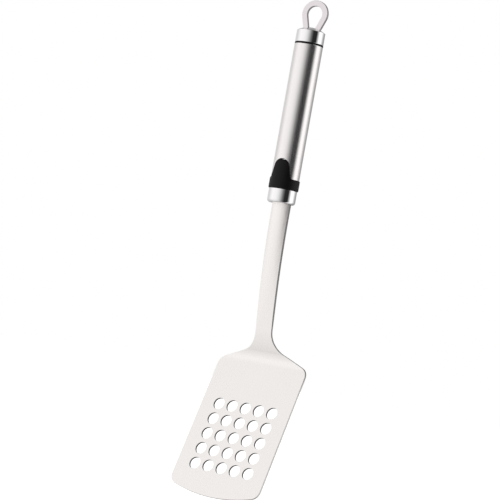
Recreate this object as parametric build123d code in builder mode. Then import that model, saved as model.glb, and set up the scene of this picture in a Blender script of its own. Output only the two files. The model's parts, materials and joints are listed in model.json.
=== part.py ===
from build123d import *
from math import asin, cos, radians, sin, sqrt, tan
import os

# Grill spatula in stainless steel: a perforated, cranked blade on a crowned stem, a round
# tubular handle with a moulded thumb rest, and a polished end cap that carries a hanging loop.
# A tie rod inside the handle pulls the blade's tang up and clamps the handle's pieces together.
#
# Frame: +Z runs up the handle axis, +X across the blade, and the food side of the blade faces -Y.
# The origin is the point inside the hanging loop that rests on a hook. Lengths are millimetres.

# Hanging loop: a flat strip bent to a drop shape
LOOP_RADIUS = 8.1
LOOP_BAND = 4.2
LOOP_THICKNESS = 2.5
LOOP_EDGE_ROUND = 0.35
LOOP_LEG_ANGLE = 19.0
LOOP_OFFSET = 0.2
LOOP_LEAN = 3.5
HOOK_TO_SEAL = 28.85

# Handle, from the end cap down to the ferrule
HANDLE_RADIUS = 10.5
HANDLE_TURN = 10.0
CAP_HEIGHT = 12.1
CAP_DOME_RADIUS = 19.0
CAP_SHOULDER_RADIUS = 3.0
CAP_WALL = 1.2
CAP_RIM_ROUND = 0.4
SEAL_THICKNESS = 1.1
SEAL_PROUD = 0.05
SEAL_ROUND = 0.2
TUBE_LENGTH = 99.8
TUBE_WALL = 1.0
TUBE_TOP_ROUND = 0.4
THUMB_RING_HEIGHT = 7.8
THUMB_REST_PROUD = 0.6
THUMB_REST_ROUND = 0.5
TONGUE_RISE = 14.05
TONGUE_TIP_RADIUS = 5.9
TONGUE_FLARE_ANGLE = 12.5
TONGUE_ROOT_RADIUS = 1.2
FERRULE_HEIGHT = 10.4
FERRULE_RADIUS = 10.4
FERRULE_WALL = 1.2
FERRULE_FLOOR = 1.6
FERRULE_BOTTOM_ROUND = 2.0
FERRULE_TOP_ROUND = 0.4

# Stem: crowned on the food side, turned a little at the ferrule and swept back to the neck
STEM_FRONT_Y = 0.5
STEM_WIDTH = 14.3
STEM_TURN = 9.0
STEM_UNTURNED_DROP = 85.0
SWEEP_DROP = 8.2
SWEEP_RADIUS = 600.0
SWEEP_ANGLE = 8.0
# (drop below the ferrule, rise of the crown over its edges, thickness of the edges)
STEM_STATIONS = (
    (0.0, 1.9, 2.5),
    (25.0, 1.6, 2.5),
    (45.0, 1.25, 2.4),
    (65.0, 0.8, 2.3),
    (80.0, 0.4, 2.1),
)

# Neck and blade: flat sheet, bent at the neck
NECK_RADIUS = 45.0
NECK_ANGLE = 31.0
BEND_RADIUS = 11.0
BLADE_ANGLE = 20.0
BLADE_THICKNESS = 1.6
BLADE_SHOULDER_WIDTH = 79.2
BLADE_NOSE_WIDTH = 80.4
BLADE_FLAT_LENGTH = 106.4
BLADE_NOSE_RADIUS = 127.0
BLADE_CORNER_RADIUS = 7.0
SHEET_EDGE_ROUND = 0.25
SHEET_FACING = 0.5
SHOULDER_DROP = 104.7
SHOULDER_ANGLE = 21.6
SHOULDER_CORNER_RADIUS = 8.0
NECK_FILLET_RADIUS = 16.0
HOLE_RADIUS = 4.5
HOLE_PITCH = 12.0
HOLE_COUNT = 5
HOLE_GRID_DROP = 59.6

# Inner parts of the handle
GAP = 0.1
EDGE_CHAMFER = 0.5
PIN_CHAMFER = 0.3
TANG_WIDTH = 11.0
TANG_THICKNESS = 3.0
TANG_LENGTH = 22.0
TANG_END_GAP = 0.5
LOWER_PLUG_RADIUS = 7.8
LOWER_PLUG_LENGTH = 32.0
PLUG_CLEARANCE = 0.2
PIN_RADIUS = 1.5
PIN_INSET = 0.4
PIN_DEPTHS = (6.5, 15.5)
SPIGOT_LENGTH = 5.0
UPPER_PLUG_LENGTH = 12.0
UPPER_SPIGOT_HEIGHT = 5.5
TIE_ROD_RADIUS = 2.5
ROD_ENGAGEMENT = 8.0
ROD_END_GAP = 0.5
ROD_PAST_NUT = 1.0
NUT_ACROSS_FLATS = 8.0
NUT_HEIGHT = 4.0
NUT_POCKET_RADIUS = 5.3
NUT_POCKET_FLOOR = 0.5
WASHER_RADIUS = 5.0
WASHER_THICKNESS = 1.0
SPRING_WASHER_RADIUS = 4.6
SPRING_WASHER_THICKNESS = 1.2
SPRING_SLIT_WIDTH = 0.6
SPRING_SLIT_ANGLE = 20.0
PLATE_RADIUS = 7.0
PLATE_THICKNESS = 1.2
PLATE_OVER_ROD = 0.4
LOOP_LEG_PAST_PLATE = 0.2

# Longer than the whole spatula, for profiles and cuts that run right out of it
FAR = 400.0

# Heights on the handle axis
loop_centre_z = LOOP_BAND / 2 - LOOP_RADIUS
cap_rim_z = SEAL_THICKNESS / 2 - HOOK_TO_SEAL
cap_crown_z = cap_rim_z + CAP_HEIGHT
tube_top_z = cap_rim_z - SEAL_THICKNESS
tube_bottom_z = tube_top_z - TUBE_LENGTH
ring_bottom_z = tube_bottom_z - THUMB_RING_HEIGHT
ferrule_bottom_z = ring_bottom_z - FERRULE_HEIGHT
pocket_floor_z = cap_rim_z + NUT_POCKET_FLOOR
nut_bottom_z = pocket_floor_z + WASHER_THICKNESS + SPRING_WASHER_THICKNESS
rod_top_z = nut_bottom_z + NUT_HEIGHT + ROD_PAST_NUT
plate_bottom_z = rod_top_z + PLATE_OVER_ROD
lower_plug_bottom_z = ferrule_bottom_z + FERRULE_FLOOR
lower_plug_top_z = lower_plug_bottom_z + LOWER_PLUG_LENGTH

tube_bore = HANDLE_RADIUS - TUBE_WALL
cap_bore = HANDLE_RADIUS - CAP_WALL
thumb_bore = LOWER_PLUG_RADIUS + PLUG_CLEARANCE
pin_centres = [(0, ferrule_bottom_z + depth) for depth in PIN_DEPTHS]

# The thumb rest and the loop share a front that is turned a little from the blade's.
dress_plane = Plane.XZ.rotated((0, 0, HANDLE_TURN))


# ---- Blade and stem -------------------------------------------------------------------------

# Middle of the sheet's food face in the side view, as (y, z), where the sweep meets the neck
sweep_end_drop = SWEEP_DROP + SWEEP_RADIUS * sin(radians(SWEEP_ANGLE))
sweep_end = Vector(
    STEM_FRONT_Y + SWEEP_RADIUS * (1 - cos(radians(SWEEP_ANGLE))),
    ferrule_bottom_z - sweep_end_drop,
)
sweep_heading = Vector(sin(radians(SWEEP_ANGLE)), -cos(radians(SWEEP_ANGLE)))
sweep_backwards = Vector(cos(radians(SWEEP_ANGLE)), sin(radians(SWEEP_ANGLE)))


def draw_neck_and_blade(depth):
    """Neck, bend and blade in the side view, at a depth behind the food face.

    The blade runs a little past its nose, which is cut to shape later.
    """
    neck = JernArc(
        sweep_end + depth * sweep_backwards,
        sweep_heading,
        NECK_RADIUS - depth,
        NECK_ANGLE - SWEEP_ANGLE,
    )
    bend = JernArc(neck @ 1, neck % 1, BEND_RADIUS + depth, -NECK_ANGLE - BLADE_ANGLE)
    uncut_length = BLADE_FLAT_LENGTH + BLADE_CORNER_RADIUS
    blade = Line(bend @ 1, bend @ 1 + uncut_length * (bend % 1))
    return neck, blade


def stem_plane(drop):
    """Plane square to the stem, through the middle of its front, at a drop below the ferrule."""
    lean = asin(max(drop - SWEEP_DROP, 0) / SWEEP_RADIUS)
    front_y = STEM_FRONT_Y + SWEEP_RADIUS * (1 - cos(lean))
    square = Plane(
        origin=(0, front_y, ferrule_bottom_z - drop),
        x_dir=(1, 0, 0),
        z_dir=(0, -sin(lean), cos(lean)),
    )
    turn = STEM_TURN * max(1 - drop / STEM_UNTURNED_DROP, 0)
    return square.rotated((0, 0, turn))


with BuildPart() as blade_and_stem:
    with BuildSketch(Plane.YZ):
        with BuildLine():
            front_neck, front_blade = draw_neck_and_blade(0)
            back_neck, back_blade = draw_neck_and_blade(BLADE_THICKNESS)
            Line(front_blade @ 1, back_blade @ 1)
            Line(front_neck @ 0, back_neck @ 0)
        make_face()
    extrude(amount=BLADE_NOSE_WIDTH / 2, both=True)

    # Front view: neck fillets, sloping shoulders, and sides that flare a little to the nose.
    blade_bottom_z = (back_blade @ 1).Y
    shoulder_z = ferrule_bottom_z - SHOULDER_DROP
    shoulder_corner_z = shoulder_z - (BLADE_SHOULDER_WIDTH - STEM_WIDTH) / 2 * tan(
        radians(SHOULDER_ANGLE)
    )
    neck_corner = (STEM_WIDTH / 2, shoulder_z)
    shoulder_corner = (BLADE_SHOULDER_WIDTH / 2, shoulder_corner_z)
    with BuildSketch(Plane.XZ) as front_view:
        with BuildLine():
            Polyline(
                (0, ferrule_bottom_z),
                (STEM_WIDTH / 2, ferrule_bottom_z),
                neck_corner,
                shoulder_corner,
                (BLADE_NOSE_WIDTH / 2, blade_bottom_z),
                (0, blade_bottom_z),
                close=True,
            )
        make_face()
        fillet(front_view.vertices().sort_by_distance(neck_corner)[0], NECK_FILLET_RADIUS)
        fillet(
            front_view.vertices().sort_by_distance(shoulder_corner)[0], SHOULDER_CORNER_RADIUS
        )
        mirror(about=Plane.YZ)
    extrude(amount=FAR, both=True, mode=Mode.INTERSECT)

    # Nose of the blade, cut square to its own plane, and the perforations.
    blade_start = front_blade @ 0
    blade_heading = front_blade % 0
    grid_centre = blade_start + HOLE_GRID_DROP * blade_heading
    blade_plane = Plane(
        origin=(0, grid_centre.X, grid_centre.Y),
        x_dir=(1, 0, 0),
        z_dir=(0, blade_heading.Y, -blade_heading.X),
    )
    nose = HOLE_GRID_DROP - BLADE_FLAT_LENGTH
    reach = BLADE_NOSE_WIDTH / 2 + BLADE_CORNER_RADIUS
    nose_side = nose + BLADE_NOSE_RADIUS - sqrt(BLADE_NOSE_RADIUS**2 - reach**2)
    with BuildSketch(blade_plane):
        with BuildLine():
            ThreePointArc((-reach, nose_side), (0, nose), (reach, nose_side))
            Polyline((reach, nose_side), (reach, FAR), (-reach, FAR), (-reach, nose_side))
        make_face()
    extrude(amount=FAR, both=True, mode=Mode.INTERSECT)
    across_sheet = blade_and_stem.edges().filter_by(lambda edge: edge.length < 2 * BLADE_THICKNESS)
    fillet(across_sheet.sort_by(Axis.Z)[:2], BLADE_CORNER_RADIUS)
    with BuildSketch(blade_plane):
        with GridLocations(HOLE_PITCH, HOLE_PITCH, HOLE_COUNT, HOLE_COUNT):
            Circle(HOLE_RADIUS)
    extrude(amount=2 * BLADE_THICKNESS, both=True, mode=Mode.SUBTRACT)

    # The sheet's cut edges are broken all round, but not where the stem joins on.
    all_faces = blade_and_stem.faces()
    sides = all_faces.filter_by(lambda face: abs(face.normal_at().Y) > SHEET_FACING)
    cut_walls = (all_faces - sides).sort_by(Axis.Z)[:-1]
    fillet(sides.edges() & cut_walls.edges(), SHEET_EDGE_ROUND)

    # Stem: D-shaped sections that thin out to the sheet's own section.
    for drop, rise, thickness in STEM_STATIONS:
        with BuildSketch(stem_plane(drop)) as section:
            with BuildLine():
                left = (-STEM_WIDTH / 2, 0)
                right = (STEM_WIDTH / 2, 0)
                ThreePointArc(left, (0, -rise), right)
                Polyline(
                    right, (STEM_WIDTH / 2, thickness), (-STEM_WIDTH / 2, thickness), left
                )
            make_face()
            fillet(section.vertices(), SHEET_EDGE_ROUND)
    with BuildSketch(stem_plane(sweep_end_drop)) as sheet_section:
        with Locations((0, BLADE_THICKNESS / 2)):
            Rectangle(STEM_WIDTH, BLADE_THICKNESS)
        fillet(sheet_section.vertices(), SHEET_EDGE_ROUND)
    loft()

    # Tang, narrower than the stem, with the holes for its two pins.
    with BuildSketch(Plane.XY.offset(ferrule_bottom_z)):
        with Locations((0, STEM_FRONT_Y)):
            Rectangle(TANG_WIDTH, TANG_THICKNESS)
    extrude(amount=TANG_LENGTH)
    with BuildSketch(Plane.XZ):
        with Locations(*pin_centres):
            Circle(PIN_RADIUS + GAP / 2)
    extrude(amount=HANDLE_RADIUS, both=True, mode=Mode.SUBTRACT)

blade_and_stem.part.label = "blade_and_stem"


# ---- Ferrule, thumb rest and tube --------------------------------------------------------------

with BuildPart() as lower_ferrule:
    with BuildSketch(Plane.XY.offset(ferrule_bottom_z)):
        Circle(FERRULE_RADIUS)
    extrude(amount=FERRULE_HEIGHT)
    fillet(lower_ferrule.edges().group_by(Axis.Z)[0], FERRULE_BOTTOM_ROUND)
    fillet(lower_ferrule.edges().group_by(Axis.Z)[-1], FERRULE_TOP_ROUND)
    with BuildSketch(Plane.XY.offset(ferrule_bottom_z + FERRULE_FLOOR)):
        Circle(FERRULE_RADIUS - FERRULE_WALL)
    extrude(amount=FERRULE_HEIGHT, mode=Mode.SUBTRACT)
    with BuildSketch(Plane.XY.offset(ferrule_bottom_z)):
        with Locations((0, STEM_FRONT_Y)):
            Rectangle(TANG_WIDTH + 2 * GAP, TANG_THICKNESS + 2 * GAP)
    extrude(amount=FERRULE_HEIGHT, mode=Mode.SUBTRACT)

lower_ferrule.part.label = "lower_ferrule"


def tongue_outline(margin):
    """Front view of the tongue: a round tip, sides that flare down, and a hollow root curve."""
    radius = TONGUE_TIP_RADIUS + margin
    flare = radians(TONGUE_FLARE_ANGLE)
    tip_centre_z = tube_bottom_z + TONGUE_RISE - TONGUE_TIP_RADIUS
    touch = Vector(radius * cos(flare), tip_centre_z + radius * sin(flare))
    root_x = touch.X + (touch.Y - tube_bottom_z) * tan(flare)
    foot_x = root_x + 2 * TONGUE_ROOT_RADIUS
    foot_z = tube_bottom_z - TONGUE_ROOT_RADIUS
    with BuildLine() as outline:
        ThreePointArc((-touch.X, touch.Y), (0, tip_centre_z + radius), (touch.X, touch.Y))
        for side in (-1, 1):
            FilletPolyline(
                (side * touch.X, touch.Y),
                (side * root_x, tube_bottom_z),
                (side * foot_x, tube_bottom_z),
                radius=TONGUE_ROOT_RADIUS,
            )
        Polyline(
            (-foot_x, tube_bottom_z),
            (-foot_x, foot_z),
            (foot_x, foot_z),
            (foot_x, tube_bottom_z),
        )
    return outline.edges()


with BuildPart() as thumb_rest:
    with BuildSketch(dress_plane):
        make_face(tongue_outline(0))
    extrude(amount=2 * HANDLE_RADIUS)
    with BuildSketch(Plane.XY.offset(ring_bottom_z)):
        Circle(HANDLE_RADIUS + THUMB_REST_PROUD)
    extrude(amount=2 * HANDLE_RADIUS, mode=Mode.INTERSECT)
    with BuildSketch(Plane.XY.offset(ring_bottom_z)):
        Circle(tube_bore + GAP)
    extrude(amount=3 * HANDLE_RADIUS, mode=Mode.SUBTRACT)
    with BuildSketch(Plane.XY.offset(ring_bottom_z)):
        Circle(HANDLE_RADIUS + THUMB_REST_PROUD)
        Circle(thumb_bore, mode=Mode.SUBTRACT)
    extrude(amount=THUMB_RING_HEIGHT)
    outer_face = thumb_rest.faces().filter_by(GeomType.CYLINDER).sort_by(SortBy.AREA)[-1]
    fillet(outer_face.edges(), THUMB_REST_ROUND)
    with BuildSketch(Plane.XY.offset(tube_bottom_z)):
        Circle(tube_bore - GAP)
        Circle(thumb_bore, mode=Mode.SUBTRACT)
    extrude(amount=SPIGOT_LENGTH)
    with BuildSketch(Plane.XY.offset(ring_bottom_z)):
        Circle(FERRULE_RADIUS - FERRULE_WALL - GAP)
        Circle(thumb_bore, mode=Mode.SUBTRACT)
    extrude(amount=-SPIGOT_LENGTH / 2)

thumb_rest.part.label = "thumb_rest"

with BuildPart() as handle_tube:
    with BuildSketch(Plane.XY.offset(tube_bottom_z)):
        Circle(HANDLE_RADIUS)
        Circle(tube_bore, mode=Mode.SUBTRACT)
    extrude(amount=TUBE_LENGTH)
    top_edges = handle_tube.edges().filter_by(GeomType.CIRCLE).group_by(Axis.Z)[-1]
    fillet(top_edges.sort_by(SortBy.RADIUS)[-1], TUBE_TOP_ROUND)
    with BuildSketch(dress_plane):
        make_face(tongue_outline(GAP))
    extrude(amount=2 * HANDLE_RADIUS, mode=Mode.SUBTRACT)

handle_tube.part.label = "handle_tube"


# ---- Inside the handle -------------------------------------------------------------------------

with BuildPart() as lower_plug:
    with BuildSketch(Plane.XY.offset(lower_plug_bottom_z)):
        Circle(LOWER_PLUG_RADIUS)
    extrude(amount=LOWER_PLUG_LENGTH)
    chamfer(lower_plug.edges().group_by(Axis.Z)[-1], EDGE_CHAMFER)
    with BuildSketch(Plane.XY.offset(lower_plug_bottom_z)):
        with Locations((0, STEM_FRONT_Y)):
            Rectangle(TANG_WIDTH + 2 * GAP, TANG_THICKNESS + 2 * GAP)
    extrude(amount=TANG_LENGTH - FERRULE_FLOOR + TANG_END_GAP, mode=Mode.SUBTRACT)
    with BuildSketch(Plane.XZ):
        with Locations(*pin_centres):
            Circle(PIN_RADIUS + GAP / 2)
    extrude(amount=HANDLE_RADIUS, both=True, mode=Mode.SUBTRACT)
    with BuildSketch(Plane.XY.offset(lower_plug_top_z)):
        Circle(TIE_ROD_RADIUS + GAP / 2)
    extrude(amount=-ROD_ENGAGEMENT, mode=Mode.SUBTRACT)

lower_plug.part.label = "lower_plug"

with BuildPart() as tang_pins:
    with BuildSketch(Plane.XZ):
        with Locations(*pin_centres):
            Circle(PIN_RADIUS)
    extrude(amount=LOWER_PLUG_RADIUS - PIN_INSET, both=True)
    chamfer(tang_pins.edges().filter_by(GeomType.CIRCLE), PIN_CHAMFER)

tang_pins.part.label = "tang_pins"

with BuildPart() as tie_rod:
    rod_bottom_z = lower_plug_top_z - ROD_ENGAGEMENT + ROD_END_GAP
    with BuildSketch(Plane.XY.offset(rod_bottom_z)):
        Circle(TIE_ROD_RADIUS)
    extrude(amount=rod_top_z - rod_bottom_z)
    chamfer(tie_rod.edges().filter_by(GeomType.CIRCLE), EDGE_CHAMFER)

tie_rod.part.label = "tie_rod"

with BuildPart() as upper_plug:
    with BuildSketch(Plane.XY.offset(tube_top_z)):
        Circle(tube_bore - GAP)
    extrude(amount=-UPPER_PLUG_LENGTH)
    chamfer(upper_plug.edges().group_by(Axis.Z)[0], EDGE_CHAMFER)
    with BuildSketch(Plane.XY.offset(tube_top_z)):
        Circle(HANDLE_RADIUS - TUBE_WALL / 2)
    extrude(amount=SEAL_THICKNESS)
    with BuildSketch(Plane.XY.offset(cap_rim_z)):
        Circle(cap_bore - GAP)
    extrude(amount=UPPER_SPIGOT_HEIGHT)
    chamfer(upper_plug.edges().group_by(Axis.Z)[-1], EDGE_CHAMFER)
    with BuildSketch(Plane.XY.offset(pocket_floor_z)):
        Circle(NUT_POCKET_RADIUS)
    extrude(amount=UPPER_SPIGOT_HEIGHT, mode=Mode.SUBTRACT)
    with BuildSketch(Plane.XY.offset(tube_top_z - UPPER_PLUG_LENGTH)):
        Circle(TIE_ROD_RADIUS + 2 * GAP)
    extrude(amount=2 * UPPER_PLUG_LENGTH, mode=Mode.SUBTRACT)

upper_plug.part.label = "upper_plug"

with BuildPart() as plain_washer:
    with BuildSketch(Plane.XY.offset(pocket_floor_z)):
        Circle(WASHER_RADIUS)
        Circle(TIE_ROD_RADIUS + 2 * GAP, mode=Mode.SUBTRACT)
    extrude(amount=WASHER_THICKNESS)

plain_washer.part.label = "plain_washer"

with BuildPart() as spring_washer:
    with BuildSketch(Plane.XY.offset(pocket_floor_z + WASHER_THICKNESS)):
        Circle(SPRING_WASHER_RADIUS)
        Circle(TIE_ROD_RADIUS + 2 * GAP, mode=Mode.SUBTRACT)
        with Locations((SPRING_WASHER_RADIUS, 0)):
            Rectangle(
                SPRING_WASHER_RADIUS,
                SPRING_SLIT_WIDTH,
                rotation=SPRING_SLIT_ANGLE,
                mode=Mode.SUBTRACT,
            )
    extrude(amount=SPRING_WASHER_THICKNESS)

spring_washer.part.label = "spring_washer"

with BuildPart() as tie_rod_nut:
    with BuildSketch(Plane.XY.offset(nut_bottom_z)):
        RegularPolygon(NUT_ACROSS_FLATS / 2, 6, major_radius=False)
        Circle(TIE_ROD_RADIUS + GAP / 2, mode=Mode.SUBTRACT)
    extrude(amount=NUT_HEIGHT)

tie_rod_nut.part.label = "tie_rod_nut"


# ---- Seal, end cap and hanging loop ------------------------------------------------------------

with BuildPart() as seal_ring:
    with BuildSketch(Plane.XY.offset(tube_top_z)):
        Circle(HANDLE_RADIUS + SEAL_PROUD)
        Circle(HANDLE_RADIUS - TUBE_WALL / 2 + GAP, mode=Mode.SUBTRACT)
    extrude(amount=SEAL_THICKNESS)
    outer_wall = seal_ring.faces().filter_by(GeomType.CYLINDER).sort_by(SortBy.AREA)[-1]
    fillet(outer_wall.edges().filter_by(GeomType.CIRCLE), SEAL_ROUND)

seal_ring.part.label = "seal_ring"


def leaning(x, z):
    """A point of the upright loop, once the loop leans to the right where it leaves the cap."""
    leant = Vector(x, z - cap_crown_z).rotate(Axis.Z, -LOOP_LEAN)
    return leant + Vector(LOOP_OFFSET, cap_crown_z)


def loop_centreline():
    """Middle of the loop's strip seen square on: a round bow on two converging legs."""
    turn = radians(LOOP_LEG_ANGLE)
    bow_half = LOOP_RADIUS * cos(turn)
    bow_end_z = loop_centre_z - LOOP_RADIUS * sin(turn)
    leg_end_z = plate_bottom_z - LOOP_BAND / 2
    leg_end_half = bow_half - (bow_end_z - leg_end_z) * tan(turn)
    with BuildLine() as centreline:
        ThreePointArc(
            leaning(-bow_half, bow_end_z),
            leaning(0, loop_centre_z + LOOP_RADIUS),
            leaning(bow_half, bow_end_z),
        )
        for side in (-1, 1):
            Line(leaning(side * bow_half, bow_end_z), leaning(side * leg_end_half, leg_end_z))
    return centreline.edges()


with BuildPart() as hanging_loop:
    with BuildSketch(dress_plane):
        trace(loop_centreline(), LOOP_BAND)
    extrude(amount=LOOP_THICKNESS / 2, both=True)
    split(bisect_by=Plane.XY.offset(plate_bottom_z - LOOP_LEG_PAST_PLATE), keep=Keep.TOP)
    strip_sides = hanging_loop.faces().filter_by(dress_plane)
    leg_ends = hanging_loop.faces().group_by(Axis.Z)[0]
    fillet(strip_sides.edges() - leg_ends.edges(), LOOP_EDGE_ROUND)

hanging_loop.part.label = "hanging_loop"


def cap_outline(inset):
    """Half section of the cap, at an inset from its outer surface."""
    dome_radius = CAP_DOME_RADIUS - inset
    side = HANDLE_RADIUS - inset
    dome_side_z = cap_crown_z - CAP_DOME_RADIUS + sqrt(dome_radius**2 - side**2)
    with BuildLine() as outline:
        Polyline((0, cap_crown_z - inset), (0, cap_rim_z), (side, cap_rim_z), (side, dome_side_z))
        RadiusArc((side, dome_side_z), (0, cap_crown_z - inset), -dome_radius)
    return outline.edges()


with BuildPart() as end_cap:
    with BuildSketch(Plane.XZ) as cap_outside:
        make_face(cap_outline(0))
        rim, shoulder = cap_outside.vertices().group_by(Axis.X)[-1].sort_by(Axis.Y)
        fillet(rim, CAP_RIM_ROUND)
        fillet(shoulder, CAP_SHOULDER_RADIUS)
    revolve(axis=Axis.Z)
    with BuildSketch(Plane.XZ) as cap_inside:
        make_face(cap_outline(CAP_WALL))
        shoulder = cap_inside.vertices().group_by(Axis.X)[-1].sort_by(Axis.Y)[-1]
        fillet(shoulder, CAP_SHOULDER_RADIUS - CAP_WALL)
    revolve(axis=Axis.Z, mode=Mode.SUBTRACT)
    with BuildSketch(dress_plane):
        trace(loop_centreline(), LOOP_BAND + 2 * GAP)
    extrude(amount=LOOP_THICKNESS / 2 + GAP, both=True, mode=Mode.SUBTRACT)

end_cap.part.label = "end_cap"

with BuildPart() as loop_plate:
    with BuildSketch(Plane.XY.offset(plate_bottom_z)):
        Circle(PLATE_RADIUS)
    extrude(amount=PLATE_THICKNESS)
    with BuildSketch(dress_plane):
        trace(loop_centreline(), LOOP_BAND + 2 * GAP)
    extrude(amount=LOOP_THICKNESS / 2 + GAP, both=True, mode=Mode.SUBTRACT)

loop_plate.part.label = "loop_plate"


# ---- One file for each piece -------------------------------------------------------------------

os.makedirs("parts", exist_ok=True)
for piece in (
    blade_and_stem,
    lower_ferrule,
    thumb_rest,
    handle_tube,
    lower_plug,
    tang_pins,
    tie_rod,
    upper_plug,
    plain_washer,
    spring_washer,
    tie_rod_nut,
    seal_ring,
    end_cap,
    hanging_loop,
    loop_plate,
):
    export_step(piece.part, f"parts/{piece.part.label}.step")
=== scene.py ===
import json
import math

import bpy
from mathutils import Matrix, Vector


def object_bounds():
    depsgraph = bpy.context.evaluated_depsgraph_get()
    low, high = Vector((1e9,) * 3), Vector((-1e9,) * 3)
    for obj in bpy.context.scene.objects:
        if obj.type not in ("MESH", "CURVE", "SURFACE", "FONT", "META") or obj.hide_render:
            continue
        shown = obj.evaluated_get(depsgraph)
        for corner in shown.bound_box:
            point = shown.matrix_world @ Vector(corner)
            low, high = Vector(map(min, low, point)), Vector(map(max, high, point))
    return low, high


# Looks for the grill spatula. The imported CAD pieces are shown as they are, each with a
# procedural finish, in a plain light tent that is dark on its right. Lengths are metres.

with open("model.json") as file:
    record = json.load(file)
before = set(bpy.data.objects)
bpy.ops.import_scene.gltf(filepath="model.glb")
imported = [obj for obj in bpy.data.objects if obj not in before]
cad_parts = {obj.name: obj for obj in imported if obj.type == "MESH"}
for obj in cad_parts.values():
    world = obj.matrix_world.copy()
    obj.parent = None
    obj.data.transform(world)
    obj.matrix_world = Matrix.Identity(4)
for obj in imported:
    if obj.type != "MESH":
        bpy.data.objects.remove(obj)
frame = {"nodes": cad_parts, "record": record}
cad_low, cad_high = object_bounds()
nodes = frame["nodes"]


# ---- Small helpers for node trees --------------------------------------------------------------

NOISE_ROUGHNESS = 0.6
RELIEF_DEPTH = 0.0001
# A rounded normal this much like the straight one, as a dot product, is fully an edge.
EDGE_LIKENESS = 0.8
EDGE_SAMPLES = 4


def add(tree, kind, inputs=(), **settings):
    """A new node; inputs is {socket name or number: value or output socket}."""
    made = tree.nodes.new(kind)
    for name, value in settings.items():
        setattr(made, name, value)
    for key, value in dict(inputs).items():
        if isinstance(value, bpy.types.NodeSocket):
            tree.links.new(value, made.inputs[key])
        else:
            made.inputs[key].default_value = value
    return made


def maths(tree, operation, first, second=0.0):
    return add(tree, "ShaderNodeMath", {0: first, 1: second}, operation=operation).outputs[0]


def vector_maths(tree, operation, first, second):
    """A node of vector maths; its result is the output called Vector or Value."""
    return add(
        tree, "ShaderNodeVectorMath", {0: first, 1: second}, operation=operation
    ).outputs


def remap(tree, value, low, high, to_low, to_high):
    inputs = {
        "Value": value,
        "From Min": low,
        "From Max": high,
        "To Min": to_low,
        "To Max": to_high,
    }
    return add(tree, "ShaderNodeMapRange", inputs).outputs["Result"]


def ramp(tree, value, stops):
    """A colour ramp with grey stops given as (position, level)."""
    made = add(tree, "ShaderNodeValToRGB", {"Fac": value})
    elements = made.color_ramp.elements
    while len(elements) < len(stops):
        elements.new(0.5)
    for element, (position, level) in zip(elements, stops):
        element.position = position
        element.color = (level, level, level, 1)
    return made.outputs["Color"]


def mix_colours(tree, share, first, second):
    """A mix of two colours; the node's sockets 0, 6 and 7 are those of its colour form."""
    made = add(tree, "ShaderNodeMix", data_type="RGBA")
    for key, value in ((0, share), (6, first), (7, second)):
        if isinstance(value, bpy.types.NodeSocket):
            tree.links.new(value, made.inputs[key])
        else:
            made.inputs[key].default_value = value
    return made.outputs[2]


def shaded(colour, share):
    """A colour made darker or lighter, with each channel kept at or below 1, and opaque."""
    return tuple(min(1, channel * share) for channel in colour) + (1,)


def place_on_piece(tree):
    return add(tree, "ShaderNodeTexCoord").outputs["Object"]


def stretched_noise(tree, stretch, detail=3.0, seed=0.0):
    """Noise in object space, with its count of grains a metre set along each axis."""
    mapping_inputs = {
        "Vector": place_on_piece(tree),
        "Location": (seed, seed, seed),
        "Scale": stretch,
    }
    mapping = add(tree, "ShaderNodeMapping", mapping_inputs)
    noise_inputs = {
        "Vector": mapping.outputs[0],
        "Scale": 1.0,
        "Detail": detail,
        "Roughness": NOISE_ROUGHNESS,
    }
    return add(tree, "ShaderNodeTexNoise", noise_inputs).outputs["Fac"]


def edges_worn_and_highlit(tree, radius):
    """1 on a piece's edges and 0 on its faces, from how far a rounded normal leans."""
    rounded = add(tree, "ShaderNodeBevel", {"Radius": radius}, samples=EDGE_SAMPLES).outputs[0]
    straight = add(tree, "ShaderNodeNewGeometry").outputs["Normal"]
    alike = vector_maths(tree, "DOT_PRODUCT", rounded, straight)["Value"]
    return remap(tree, alike, 1.0, EDGE_LIKENESS, 0.0, 1.0)


def grain_with_clouds(tree, grain, grain_share, clouds):
    """One tone out of a fine grain and broad clouds."""
    fine = maths(tree, "MULTIPLY", grain, grain_share)
    broad = maths(tree, "MULTIPLY", clouds, 1 - grain_share)
    return maths(tree, "ADD", fine, broad)


def spread(tree, tone, tone_range, middle, share):
    """A value that goes a share below and above its middle as the tone spans its range."""
    return remap(tree, tone, *tone_range, middle * (1 - share), middle * (1 + share))


def join_shader(tree, surface, rough, grain, relief):
    """Colour, roughness and fine relief joined to the material's shader."""
    shader = tree.nodes["Principled BSDF"]
    tree.links.new(surface, shader.inputs["Base Color"])
    tree.links.new(rough, shader.inputs["Roughness"])
    bump_inputs = {"Strength": relief, "Distance": RELIEF_DEPTH, "Height": grain}
    bump = add(tree, "ShaderNodeBump", bump_inputs)
    tree.links.new(bump.outputs[0], shader.inputs["Normal"])


# ---- Finishes ----------------------------------------------------------------------------------

# Metal: what its tone is made of and spans, and what the tone and the edges change;
# the edges' lighter colour is a painted highlight
METAL_GRAIN_SHARE = 0.7
METAL_TONES = (0.3, 0.7)
METAL_CLOUDS = (60, 60, 60)
METAL_CLOUD_SEED = 3.0
METAL_ROUGHNESS_SPREAD = 0.15
METAL_EDGE_PAINTED_HIGHLIGHT = 1.04
METAL_EDGE_ROUGHNESS = 0.05
CLOUD_DETAIL = 2.0

# The same for black moulded pieces
MOULDED_GRAIN_SHARE = 0.4
MOULDED_GRAIN_DETAIL = 2.0
MOULDED_TONES = (0.35, 0.65)
MOULDED_CLOUDS = (90, 90, 90)
MOULDED_CLOUD_SEED = 5.0
MOULDED_COLOUR_SPREAD = 0.25
MOULDED_ROUGHNESS_SPREAD = 0.10
MOULDED_EDGE_BRIGHTNESS = 2.0
MOULDED_EDGE_SMOOTHNESS = 0.06
MOULDED_SPECULAR = 0.20
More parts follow.
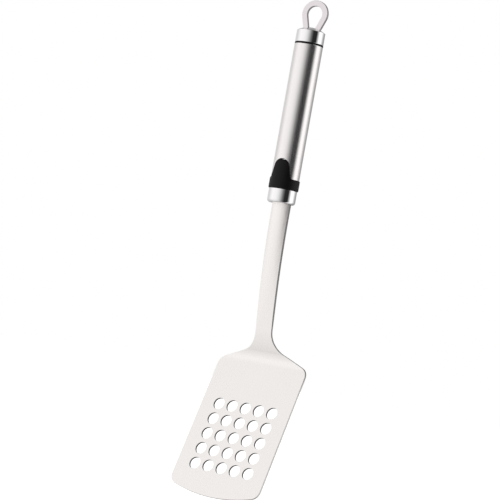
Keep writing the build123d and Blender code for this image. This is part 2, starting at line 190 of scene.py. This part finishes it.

# Walls cut square to a sheet: how far a wall's normal may lean, from fully a wall to no wall,
# and the walls' roughness and painted shades, a darker colour standing in for the dark
# reflections the walls show. Lengths here reach from the middle of the hole grid.
WALL_NORMALS = (0.36, 0.56)
CUT_ROUGHNESS = 0.45
# Painted shades of the cut walls, as shares of the face colour: slight on the blade's outline,
# deeper on the loop's sides and the stem's sides, deepest in the holes.
OUTLINE_PAINTED_SHADE = 0.85
STEM_SIDE_PAINTED_SHADE = 0.30
LOOP_SIDE_PAINTED_SHADE = 0.50
PUNCHED_PAINTED_SHADE = 0.10
PUNCHED_REACH = 0.0391
PUNCHED_BORDER = 0.0003

# The blade's plane, from the mount on its back: the holes are centred lower down the blade.
HOLES_BELOW_MOUNT = 0.038
blade_back = next(m for m in frame["record"]["mounts"] if m["name"] == "blade_back")
blade_face = -Vector(blade_back["axis"])
blade_upwards = blade_face.cross(Vector((1.0, 0.0, 0.0)))
hole_centre = Vector(blade_back["pos_m"]) - HOLES_BELOW_MOUNT * blade_upwards

# Sides above the blade's top belong to the stem and take its deeper painted shade, and those
# below it to the blade's outline.
BLADE_TOP_ABOVE_MOUNT = 0.012
BLADE_TOP_BORDER = 0.010
blade_top = blade_back["pos_m"][2] + BLADE_TOP_ABOVE_MOUNT

LOOP_TURN = math.radians(10)
loop_face = (math.sin(LOOP_TURN), -math.cos(LOOP_TURN), 0.0)


def cut_walls(tree, face_direction):
    """1 on walls that were cut square to the broad faces of a sheet, 0 on the faces."""
    normal = add(tree, "ShaderNodeNewGeometry").outputs["Normal"]
    across = vector_maths(tree, "DOT_PRODUCT", normal, face_direction)["Value"]
    return remap(tree, maths(tree, "ABSOLUTE", across), *WALL_NORMALS, 1.0, 0.0)


def past(tree, value, border, half_width):
    """0 before a border and 1 past it, blended over half a width on either side."""
    return remap(tree, value, border - half_width, border + half_width, 0, 1)


def wall_painted_shade(tree, colour, side_painted_shade, punched):
    """Painted shade on cut walls; with a punched point, it differs by where on the blade they
    are.
    """
    sides = shaded(colour, side_painted_shade)
    if punched is None:
        return sides
    place = place_on_piece(tree)
    height = add(tree, "ShaderNodeSeparateXYZ", {0: place}).outputs["Z"]
    above = past(tree, height, blade_top, BLADE_TOP_BORDER)
    outer = mix_colours(tree, above, shaded(colour, OUTLINE_PAINTED_SHADE), sides)
    reach = vector_maths(tree, "DISTANCE", place, punched)["Value"]
    outside = past(tree, reach, PUNCHED_REACH, PUNCHED_BORDER)
    return mix_colours(tree, outside, shaded(colour, PUNCHED_PAINTED_SHADE), outer)


def metal(
    name,
    colour,
    roughness,
    stretch,
    streaks,
    relief,
    edge_radius,
    sheet_face=None,
    side_painted_shade=1.0,
    punched=None,
    metallic=1.0,
):
    """Steel or aluminium with a grain: streaks in colour and roughness, and fine relief.

    With sheet_face, walls cut square to that direction are rougher than the faces and darker as
    painted shade. With punched as well, that painted shade is slight on the blade's outline, the
    given side shade on the stem above it, and deepest within PUNCHED_REACH of the punched point.
    Edges are painted a little lighter as a highlight.
    """
    material = bpy.data.materials.new(name)
    material.use_nodes = True
    tree = material.node_tree
    tree.nodes["Principled BSDF"].inputs["Metallic"].default_value = metallic
    grain = stretched_noise(tree, stretch)
    clouds = stretched_noise(tree, METAL_CLOUDS, detail=CLOUD_DETAIL, seed=METAL_CLOUD_SEED)
    edges = edges_worn_and_highlit(tree, edge_radius)
    tone = grain_with_clouds(tree, grain, METAL_GRAIN_SHARE, clouds)

    dark, light = shaded(colour, 1 - streaks), shaded(colour, 1 + streaks)
    surface = mix_colours(tree, remap(tree, tone, *METAL_TONES, 0, 1), dark, light)
    # Edges a little lighter: a painted highlight.
    surface = mix_colours(tree, edges, surface, shaded(colour, METAL_EDGE_PAINTED_HIGHLIGHT))
    rough = spread(tree, tone, METAL_TONES, roughness, METAL_ROUGHNESS_SPREAD)
    rough = maths(tree, "ADD", rough, maths(tree, "MULTIPLY", edges, METAL_EDGE_ROUGHNESS))
    if sheet_face is not None:
        # Cut walls get painted shade: a darker colour standing in for the dark reflections they
        # show.
        walls = cut_walls(tree, sheet_face)
        surface = mix_colours(
            tree, walls, surface, wall_painted_shade(tree, colour, side_painted_shade, punched)
        )
        rough = maths(tree, "MAXIMUM", rough, maths(tree, "MULTIPLY", walls, CUT_ROUGHNESS))
    join_shader(tree, surface, rough, grain, relief)
    return material


def moulded(name, colour, roughness, grain_size, relief, edge_radius):
    """Black plastic or rubber with a fine moulded grain and edges rubbed a little lighter."""
    material = bpy.data.materials.new(name)
    material.use_nodes = True
    tree = material.node_tree
    shader = tree.nodes["Principled BSDF"]
    shader.inputs["Specular IOR Level"].default_value = MOULDED_SPECULAR
    grain = stretched_noise(tree, (1 / grain_size,) * 3, detail=MOULDED_GRAIN_DETAIL)
    clouds = stretched_noise(tree, MOULDED_CLOUDS, detail=CLOUD_DETAIL, seed=MOULDED_CLOUD_SEED)
    edges = edges_worn_and_highlit(tree, edge_radius)
    tone = grain_with_clouds(tree, grain, MOULDED_GRAIN_SHARE, clouds)

    dark = shaded(colour, 1 - MOULDED_COLOUR_SPREAD)
    light = shaded(colour, 1 + MOULDED_COLOUR_SPREAD)
    surface = mix_colours(tree, remap(tree, tone, *MOULDED_TONES, 0, 1), dark, light)
    surface = mix_colours(tree, edges, surface, shaded(colour, MOULDED_EDGE_BRIGHTNESS))
    rough = spread(tree, tone, MOULDED_TONES, roughness, MOULDED_ROUGHNESS_SPREAD)
    smoother = maths(tree, "MULTIPLY", edges, MOULDED_EDGE_SMOOTHNESS)
    rough = maths(tree, "SUBTRACT", rough, smoother)
    join_shader(tree, surface, rough, grain, relief)
    return material


satin_steel = metal(
    "satin_steel_lengthwise",
    colour=(0.92, 0.885, 0.865),
    roughness=0.26,
    stretch=(2500, 12, 12),
    streaks=0.006,
    relief=0.02,
    edge_radius=0.0004,
    sheet_face=blade_face,
    side_painted_shade=STEM_SIDE_PAINTED_SHADE,
    punched=hole_centre,
)
tube_steel = metal(
    "tube_steel_brushed_round",
    colour=(0.885, 0.855, 0.85),
    roughness=0.20,
    stretch=(10, 10, 2500),
    streaks=0.02,
    relief=0.08,
    edge_radius=0.0003,
    metallic=0.96,
)
loop_steel = metal(
    "loop_steel_satin",
    colour=(0.84, 0.79, 0.805),
    roughness=0.33,
    stretch=(900, 900, 900),
    streaks=0.03,
    relief=0.08,
    edge_radius=0.0004,
    sheet_face=loop_face,
    side_painted_shade=LOOP_SIDE_PAINTED_SHADE,
)
polished_steel = metal(
    "polished_steel",
    colour=(0.925, 0.91, 0.912),
    roughness=0.06,
    stretch=(300, 300, 900),
    streaks=0.01,
    relief=0.02,
    edge_radius=0.0003,
)
plain_steel = metal(
    "plain_steel",
    colour=(0.62, 0.60, 0.58),
    roughness=0.32,
    stretch=(700, 700, 700),
    streaks=0.05,
    relief=0.15,
    edge_radius=0.0003,
)
cast_aluminium = metal(
    "cast_aluminium",
    colour=(0.78, 0.78, 0.79),
    roughness=0.42,
    stretch=(1200, 1200, 1200),
    streaks=0.05,
    relief=0.30,
    edge_radius=0.0004,
)
black_plastic = moulded(
    "black_plastic",
    colour=(0.003, 0.0022, 0.0024),
    roughness=0.48,
    grain_size=0.0004,
    relief=0.10,
    edge_radius=0.0006,
)
black_rubber = moulded(
    "black_rubber",
    colour=(0.004, 0.004, 0.004),
    roughness=0.60,
    grain_size=0.0003,
    relief=0.15,
    edge_radius=0.0002,
)

finishes = {
    satin_steel: ["blade_and_stem"],
    tube_steel: ["handle_tube"],
    loop_steel: ["hanging_loop"],
    polished_steel: ["lower_ferrule", "end_cap"],
    plain_steel: [
        "tang_pins",
        "tie_rod",
        "tie_rod_nut",
        "plain_washer",
        "spring_washer",
        "loop_plate",
    ],
    cast_aluminium: ["lower_plug", "upper_plug"],
    black_plastic: ["thumb_rest"],
    black_rubber: ["seal_ring"],
}
for finish, names in finishes.items():
    for name in names:
        for material_slot in nodes[name].material_slots:
            material_slot.material = finish


# ---- Studio ------------------------------------------------------------------------------------

WHITE = (1, 1, 1, 1)
FLOOR_DROP = 0.06
FLOOR_REACH = 12.0
FLOOR_GREY = (0.8, 0.8, 0.8, 1)
FLOOR_ROUGHNESS = 0.9
FLOOR_GLOW = 0.9
floor_z = cad_low.z - FLOOR_DROP
corners = [
    (-FLOOR_REACH, -FLOOR_REACH, floor_z),
    (FLOOR_REACH, -FLOOR_REACH, floor_z),
    (FLOOR_REACH, FLOOR_REACH, floor_z),
    (-FLOOR_REACH, FLOOR_REACH, floor_z),
]
floor_mesh = bpy.data.meshes.new("floor")
floor_mesh.from_pydata(corners, [], [(0, 1, 2, 3)])
floor = bpy.data.objects.new("floor", floor_mesh)
bpy.context.scene.collection.objects.link(floor)
floor_paint = bpy.data.materials.new("light_table")
floor_paint.use_nodes = True
floor_shader = floor_paint.node_tree.nodes["Principled BSDF"]
floor_settings = {
    "Base Color": FLOOR_GREY,
    "Roughness": FLOOR_ROUGHNESS,
    "Specular IOR Level": 0.0,
    "Emission Color": WHITE,
    "Emission Strength": FLOOR_GLOW,
}
for socket, value in floor_settings.items():
    floor_shader.inputs[socket].default_value = value
floor_mesh.materials.append(floor_paint)
floor.visible_glossy = False

# The tent's brightness round the object: (degrees from the front towards the right, level)
AROUND = (
    (-180, 0.36),
    (-148, 0.42),
    (-112, 0.78),
    (-94, 0.69),
    (-72, 0.90),
    (-50, 1.05),
    (-14, 0.98),
    (4, 0.84),
    (16, 0.66),
    (40, 0.18),
    (56, 0.025),
    (86, 0.02),
    (97, 0.45),
    (112, 1.18),
    (130, 1.20),
    (144, 0.93),
    (156, 0.60),
    (170, 0.36),
    (180, 0.36),
)
# The share of that brightness at each height: (degrees above the horizon, share)
UPWARDS = (
    (-90, 0.60),
    (-44, 0.83),
    (-13, 0.93),
    (0, 1.0),
    (15, 1.0),
    (34, 0.92),
    (50, 0.80),
    (62, 0.30),
    (90, 0.20),
)
# Near straight up and straight down the ring gives way to one even level.
POLE_LEVEL = 0.55
POLE_HEIGHTS = (0.85, 0.98)
world = bpy.data.worlds.new("light_tent")
bpy.context.scene.world = world
world.use_nodes = True
tree = world.node_tree
tree.nodes.clear()
direction = add(tree, "ShaderNodeTexCoord").outputs["Generated"]
parts = add(tree, "ShaderNodeSeparateXYZ", {0: direction}).outputs
forwards = maths(tree, "MULTIPLY", parts["Y"], -1.0)
turn = maths(tree, "ARCTAN2", parts["X"], forwards)
around = remap(tree, turn, -math.pi, math.pi, 0, 1)
ring = ramp(tree, around, [((angle + 180) / 360, level) for angle, level in AROUND])
rise = maths(tree, "ARCSINE", parts["Z"])
upwards = remap(tree, rise, -math.pi / 2, math.pi / 2, 0, 1)
share = ramp(tree, upwards, [((angle + 90) / 180, level) for angle, level in UPWARDS])
near_pole = remap(tree, maths(tree, "ABSOLUTE", parts["Z"]), *POLE_HEIGHTS, 0, 1)
level = mix_colours(tree, near_pole, ring, (POLE_LEVEL, POLE_LEVEL, POLE_LEVEL, 1))
tent = vector_maths(tree, "MULTIPLY", level, share)["Vector"]
tent_light = add(tree, "ShaderNodeBackground", {"Color": tent, "Strength": 1.0})
# The camera sees plain white paper behind the object; only the object sees the tent.
paper = add(tree, "ShaderNodeBackground", {"Color": WHITE, "Strength": 1.0})
seen = add(tree, "ShaderNodeLightPath").outputs["Is Camera Ray"]
either = add(
    tree, "ShaderNodeMixShader", {0: seen, 1: tent_light.outputs[0], 2: paper.outputs[0]}
)
add(tree, "ShaderNodeOutputWorld", {"Surface": either.outputs[0]})

bpy.context.scene.view_settings.view_transform = "Standard"


# ---- Camera ------------------------------------------------------------------------------------

CAMERA_AZIMUTH = math.radians(36.14)
CAMERA_ELEVATION = math.radians(-2.58)
CAMERA_ROLL = math.radians(10.12)
CAMERA_DISTANCE = 1.7404
CAMERA_LENS = 170.54
CAMERA_SENSOR = 36.0
CAMERA_CLIP = (0.05, 100.0)
AIM = Vector((-0.01998, 0.0, -0.18415))
back = Vector(
    (
        math.sin(CAMERA_AZIMUTH) * math.cos(CAMERA_ELEVATION),
        -math.cos(CAMERA_AZIMUTH) * math.cos(CAMERA_ELEVATION),
        math.sin(CAMERA_ELEVATION),
    )
)
level_right = Vector((math.cos(CAMERA_AZIMUTH), math.sin(CAMERA_AZIMUTH), 0.0))
level_up = back.cross(level_right)
right = level_right * math.cos(CAMERA_ROLL) + level_up * math.sin(CAMERA_ROLL)
up = back.cross(right)
lens = bpy.data.cameras.new("camera")
lens.sensor_width = CAMERA_SENSOR
lens.lens = CAMERA_LENS
lens.clip_start, lens.clip_end = CAMERA_CLIP
camera = bpy.data.objects.new("camera", lens)
bpy.context.scene.collection.objects.link(camera)
turned = Matrix((right, up, back)).transposed().to_4x4()
camera.matrix_world = Matrix.Translation(AIM + back * CAMERA_DISTANCE) @ turned
bpy.context.scene.camera = camera
